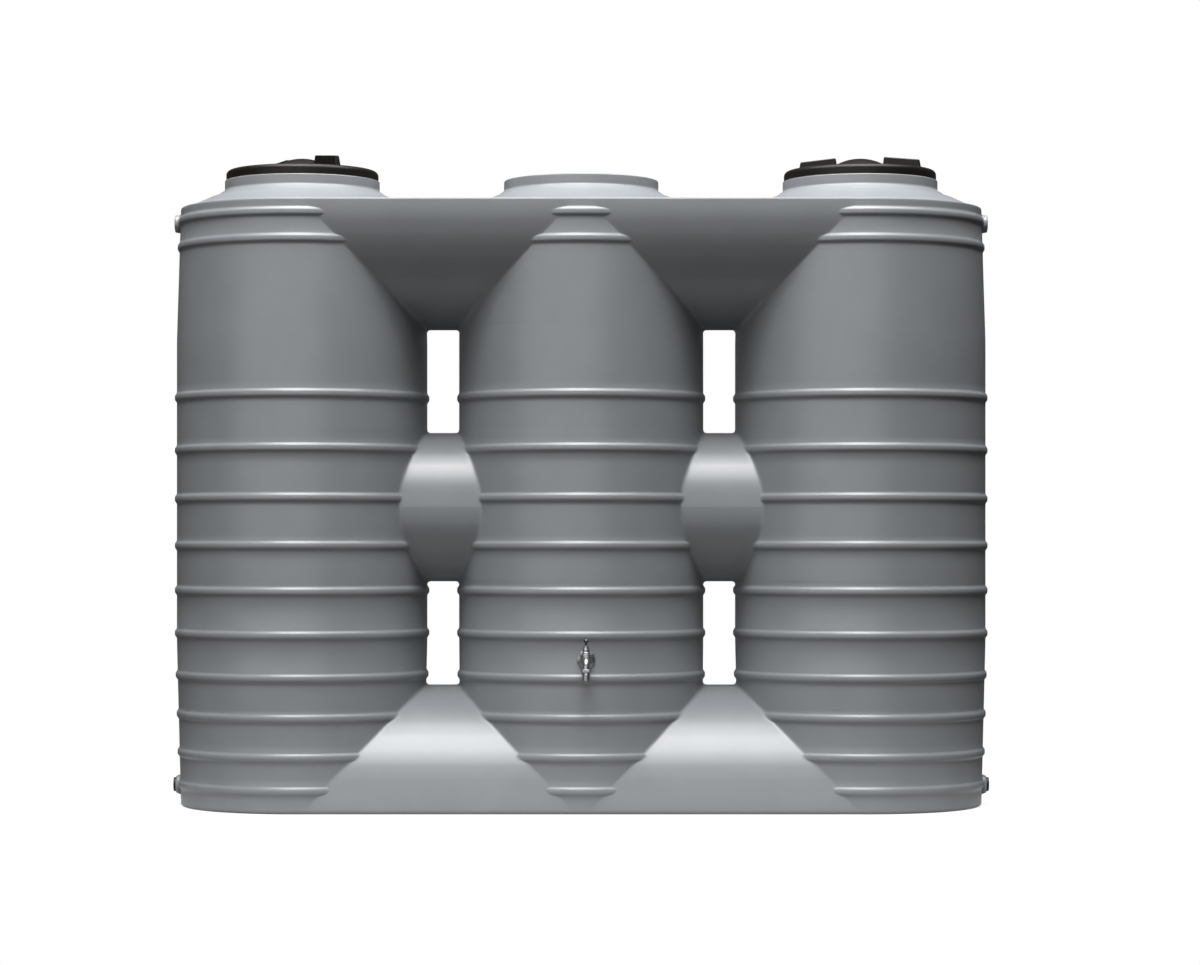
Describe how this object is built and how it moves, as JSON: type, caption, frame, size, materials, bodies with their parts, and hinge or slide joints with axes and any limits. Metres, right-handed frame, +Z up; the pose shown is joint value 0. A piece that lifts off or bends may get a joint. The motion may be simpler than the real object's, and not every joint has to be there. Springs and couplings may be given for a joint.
{
  "type": "slimline rainwater tank",
  "caption": "Slimline rainwater tank of upright hooped barrels joined by a header, round links and a base vault, with screw lids, a leaf strainer and a bib tap.",
  "frame": {"origin": "on the floor under the centre of the middle barrel", "axes": "+X along the row of barrels, +Y to the back, +Z up; the tap faces -Y"},
  "size_m": [2.417, 0.8412, 1.9193],
  "materials": {
    "tank_grey": "satin",
    "lid_black": "satin",
    "strainer_black": "satin",
    "plug_black": "matte",
    "tap_chrome": "polished",
    "tap_handle_dark": "satin"
  },
  "bodies": {
    "tank": {"left_barrel_lower_back": "tank_grey", "left_barrel_lower_front": "tank_grey", "left_barrel_upper_back": "tank_grey", "left_barrel_upper_front": "tank_grey", "left_barrel_waist_back": "tank_grey", "left_barrel_waist_front": "tank_grey", "left_base_vault": "tank_grey", "left_header": "tank_grey", "left_link": "tank_grey", "left_neck": "tank_grey", "left_outlet_boss": "tank_grey", "left_outlet_plug": "plug_black", "left_overflow_boss": "tank_grey", "left_shoulder": "tank_grey", "middle_barrel_lower_back": "tank_grey", "middle_barrel_lower_front": "tank_grey", "middle_barrel_upper_back": "tank_grey", "middle_barrel_upper_front": "tank_grey", "middle_neck": "tank_grey", "middle_shoulder": "tank_grey", "right_barrel_lower_back": "tank_grey", "right_barrel_lower_front": "tank_grey", "right_barrel_upper_back": "tank_grey", "right_barrel_upper_front": "tank_grey", "right_barrel_waist_back": "tank_grey", "right_barrel_waist_front": "tank_grey", "right_base_vault": "tank_grey", "right_header": "tank_grey", "right_link": "tank_grey", "right_neck": "tank_grey", "right_outlet_boss": "tank_grey", "right_outlet_plug": "plug_black", "right_overflow_boss": "tank_grey", "right_shoulder": "tank_grey", "strainer_dish": "strainer_black", "strainer_grate": "strainer_black", "tank_floor": "tank_grey", "tap_backnut": "tap_chrome", "tap_body": "tap_chrome", "tap_bonnet": "tap_chrome", "tap_flange": "tap_chrome", "tap_nozzle": "tap_chrome"},
    "left_lid": {"left_lid": "lid_black"},
    "right_lid": {"right_lid": "lid_black"},
    "tap_handle": {"tap_handle": "tap_handle_dark"}
  },
  "joints": [
    {"name": "left_lid_lift", "type": "slide", "parent": "tank", "child": "left_lid", "axis": [0, 0, 1], "range_m": [0, 0.15]},
    {"name": "right_lid_lift", "type": "slide", "parent": "tank", "child": "right_lid", "axis": [0, 0, 1], "range_m": [0, 0.15]},
    {"name": "tap_handle_turn", "type": "hinge", "parent": "tank", "child": "tap_handle", "pos_m": [0.014, -0.4172, 0.49], "axis": [0, 0, 1], "range_deg": [0, 450]}
  ]
}
